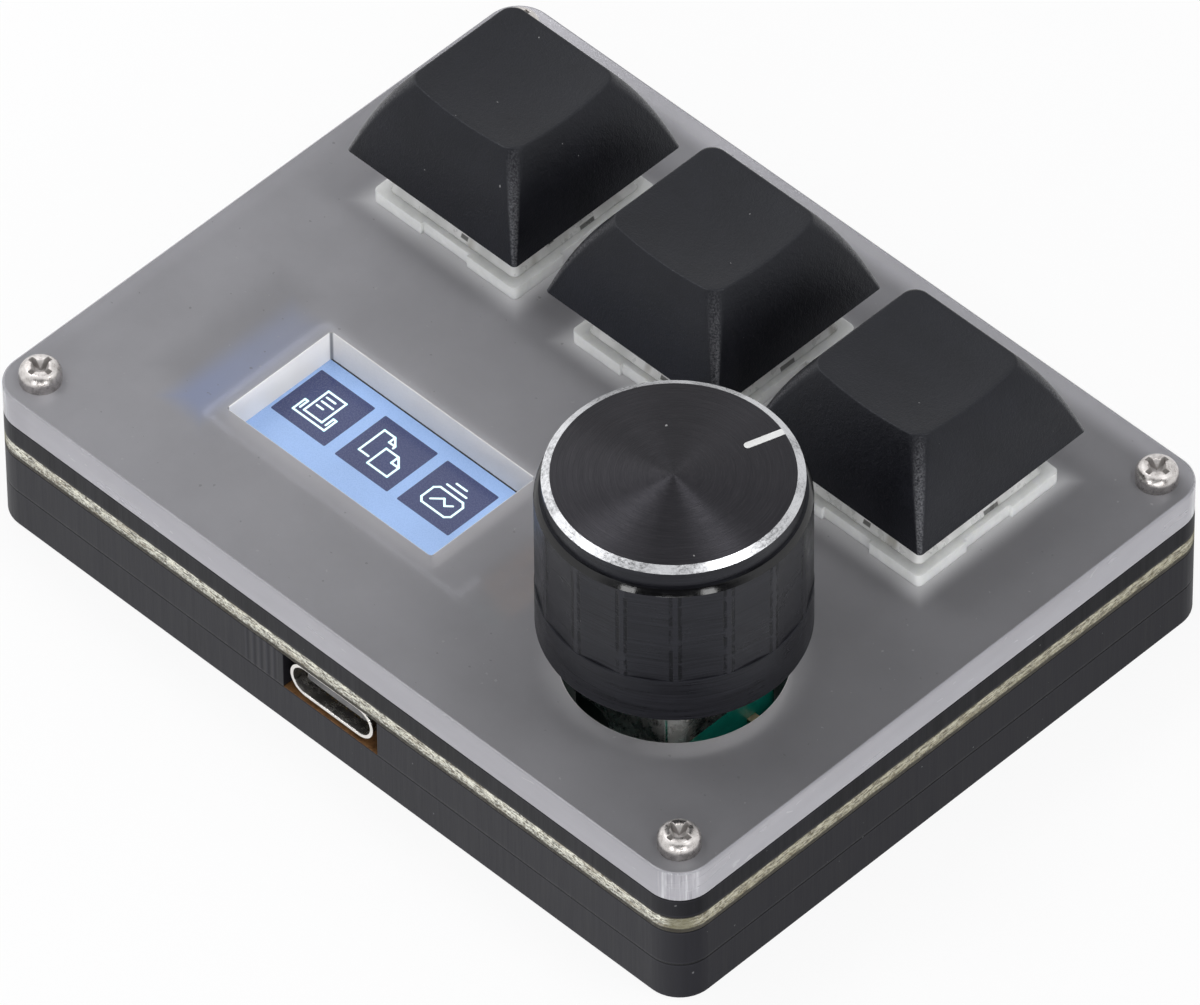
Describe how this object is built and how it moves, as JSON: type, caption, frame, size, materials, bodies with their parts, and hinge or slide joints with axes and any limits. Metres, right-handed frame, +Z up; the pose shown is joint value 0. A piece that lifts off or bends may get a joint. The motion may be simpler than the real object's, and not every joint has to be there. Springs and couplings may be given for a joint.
{
  "type": "macro keypad",
  "caption": "Low desktop macro keypad: frosted plate over black layers, square keys in a row, a small display window, a turn-and-push knob and a USB-C socket in the rear edge.",
  "frame": {"origin": "middle of the flat underside of the case", "axes": "+X to the user's right along the long edge, +Y to the rear where the socket is, +Z up; the keys are at the front (-Y), the knob at the rear left"},
  "size_m": [0.075, 0.0584, 0.0345],
  "materials": {
    "black_acrylic": "satin",
    "frosted_acrylic": "frosted",
    "board_laminate": "satin",
    "nickel_screw": "polished",
    "housing_milky": "translucent",
    "housing_clear": "clear",
    "stem_plastic": "smooth",
    "keycap_plastic": "fine grain",
    "contact_metal": "plated",
    "spring_steel": "bright",
    "display_glass": "gloss",
    "display_white": "matte",
    "foam_tape": "foam",
    "amber_film": "gloss",
    "encoder_teal": "moulded",
    "bright_steel": "bright",
    "socket_steel": "bright",
    "die_cast": "cast",
    "copper_pin": "tinned",
    "knob_black": "anodised",
    "insert_plastic": "moulded",
    "socket_plastic": "smooth",
    "chip_black": "moulded",
    "chip_tin": "tinned",
    "capacitor_tan": "matte"
  },
  "bodies": {
    "case": {"bottom_cover": "black_acrylic", "case_nuts": "nickel_screw", "case_screws": "nickel_screw", "chip_capacitors": "capacitor_tan", "chip_leads": "chip_tin", "chip_resistors": "chip_black", "circuit_board": "board_laminate", "controller_chip": "chip_black", "crystal_can": "chip_tin", "display_frame": "display_white", "display_glass": "display_glass", "display_ribbon": "amber_film", "display_tape": "foam_tape", "encoder_base": "encoder_teal", "encoder_bracket": "bright_steel", "encoder_bushing": "die_cast", "encoder_detent": "spring_steel", "encoder_pins": "copper_pin", "key_spring_1": "spring_steel", "key_spring_2": "spring_steel", "key_spring_3": "spring_steel", "memory_chip": "chip_black", "middle_frame": "black_acrylic", "push_dome": "spring_steel", "regulator_chip": "chip_black", "spacer_plate": "black_acrylic", "switch_base_1": "housing_milky", "switch_base_2": "housing_milky", "switch_base_3": "housing_milky", "switch_contacts_1": "contact_metal", "switch_contacts_2": "contact_metal", "switch_contacts_3": "contact_metal", "switch_top_1": "housing_clear", "switch_top_2": "housing_clear", "switch_top_3": "housing_clear", "top_plate": "frosted_acrylic", "usb_contacts": "contact_metal", "usb_shell": "socket_steel", "usb_tongue": "socket_plastic"},
    "key_1": {"keycap_1": "keycap_plastic", "stem_1": "stem_plastic"},
    "key_2": {"keycap_2": "keycap_plastic", "stem_2": "stem_plastic"},
    "key_3": {"keycap_3": "keycap_plastic", "stem_3": "stem_plastic"},
    "encoder_turning": {"encoder_rotor": "insert_plastic", "encoder_wipers": "contact_metal"},
    "knob": {"knob_shell": "knob_black", "knob_insert": "insert_plastic", "encoder_shaft": "die_cast"}
  },
  "joints": [
    {"name": "key_1_press", "type": "slide", "parent": "case", "child": "key_1", "axis": [0, 0, -1], "range_m": [0, 0.004], "stiffness_N_per_m": 123, "springref_m": -0.0024, "deforming": ["key_spring_1"]},
    {"name": "key_2_press", "type": "slide", "parent": "case", "child": "key_2", "axis": [0, 0, -1], "range_m": [0, 0.004], "stiffness_N_per_m": 123, "springref_m": -0.0024, "deforming": ["key_spring_2"]},
    {"name": "key_3_press", "type": "slide", "parent": "case", "child": "key_3", "axis": [0, 0, -1], "range_m": [0, 0.004], "stiffness_N_per_m": 123, "springref_m": -0.0024, "deforming": ["key_spring_3"]},
    {"name": "knob_turn", "type": "hinge", "parent": "case", "child": "encoder_turning", "pos_m": [-0.0208, 0.0127, 0.01165], "axis": [0, 0, 1], "continuous": true},
    {"name": "knob_push", "type": "slide", "parent": "encoder_turning", "child": "knob", "axis": [0, 0, -1], "range_m": [0, 0.0005], "stiffness_N_per_m": 6000, "springref_m": -0.00025, "deforming": ["push_dome"]}
  ]
}
